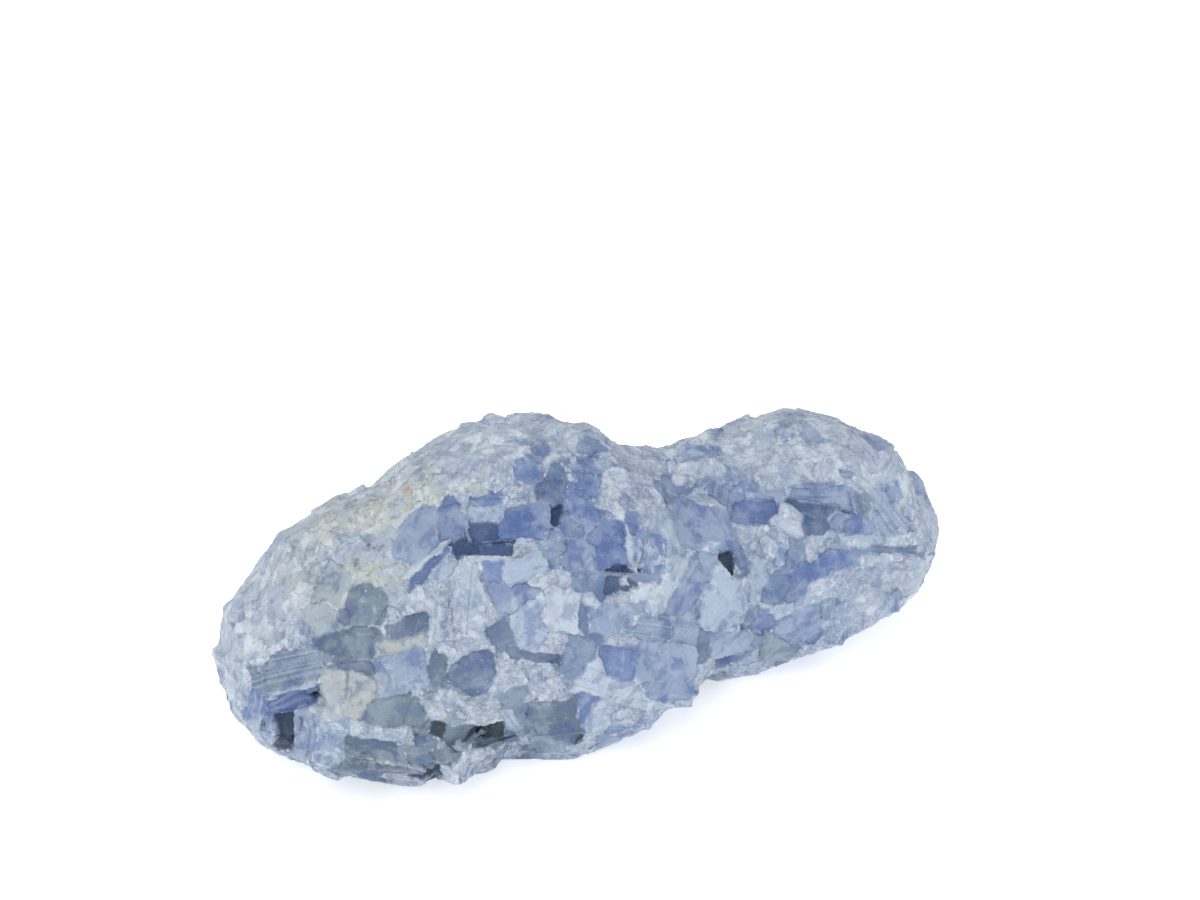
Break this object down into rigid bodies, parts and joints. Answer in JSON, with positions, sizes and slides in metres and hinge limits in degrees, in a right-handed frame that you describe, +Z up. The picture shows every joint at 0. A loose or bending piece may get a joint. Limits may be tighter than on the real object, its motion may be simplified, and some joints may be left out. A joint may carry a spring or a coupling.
{
  "type": "rough blue calcite lump",
  "caption": "Rough hand-size lump of coarse blue calcite with cleaved blocky grains on its broken front and a pale weathered rind, for display.",
  "frame": {"origin": "middle of the lump's footprint, on the surface that it rests on", "axes": "+Z up as it rests, +X along the lump towards its lower hump, -Y towards its broken front"},
  "size_m": [0.1164, 0.0511, 0.0477],
  "materials": {
    "blue_calcite": "translucent waxy blue grains with glassy cleavage faces, frosted white on their edges, under a dull cream-grey rind"
  },
  "bodies": {
    "root": {"calcite_lump": "blue_calcite"}
  },
  "joints": []
}
